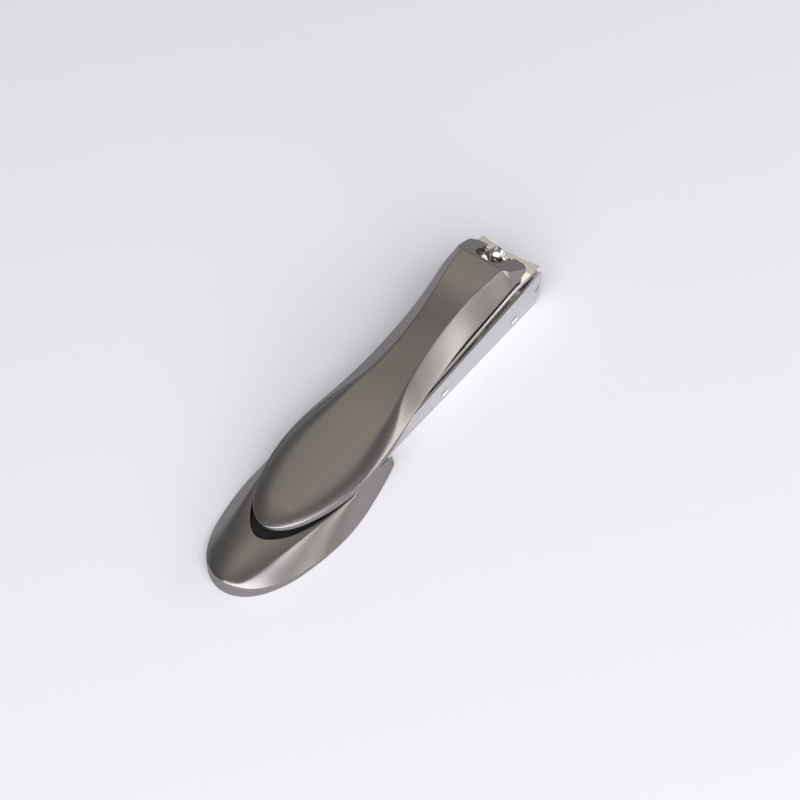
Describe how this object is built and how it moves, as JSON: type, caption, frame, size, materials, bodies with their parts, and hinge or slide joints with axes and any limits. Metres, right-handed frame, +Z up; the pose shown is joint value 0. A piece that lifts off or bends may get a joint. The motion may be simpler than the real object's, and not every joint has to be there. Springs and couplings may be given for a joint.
{
  "type": "nail clipper",
  "caption": "Compound-lever nail clipper with two sprung steel arms, a clipping catcher, a swivelling post, a flared fold-back lever and a drop-shaped tail shell.",
  "frame": {"origin": "centre of the footprint on the surface the clipper lies on", "axes": "+X from the tail to the jaws, +Y to the left side, +Z up, away from the surface"},
  "size_m": [0.09, 0.0222, 0.016],
  "materials": {
    "arm_steel": "polished stainless steel",
    "catcher_steel": "satin stainless sheet",
    "post_chrome": "bright polished",
    "gunmetal": "satin black-nickel plate on a zinc casting",
    "insert_black": "moulded black",
    "rivet_steel": "peened"
  },
  "bodies": {
    "root": {"lower_arm": "arm_steel", "catcher": "catcher_steel", "upper_arm_tail": "arm_steel", "tail_shell": "gunmetal", "tail_insert": "insert_black", "tail_rivets": "rivet_steel", "foot_washer": "post_chrome"},
    "upper_arm": {"upper_arm": "arm_steel"},
    "post": {"post": "post_chrome"},
    "lever": {"lever": "gunmetal", "lever_pin": "post_chrome"}
  },
  "joints": [
    {"name": "squeeze", "type": "hinge", "parent": "root", "child": "upper_arm", "pos_m": [-0.006, 0, 0.00415], "axis": [0, 1, 0], "range_deg": [0, 1.8], "stiffness_Nm_per_rad": 3},
    {"name": "post_swivel", "type": "hinge", "parent": "root", "child": "post", "pos_m": [0.0392, 0, 0.0126], "axis": [0, 0, 1], "continuous": true},
    {"name": "lever_flip", "type": "hinge", "parent": "post", "child": "lever", "pos_m": [0.0399, 0, 0.0116], "axis": [0, 1, 0], "range_deg": [0, 155]}
  ]
}
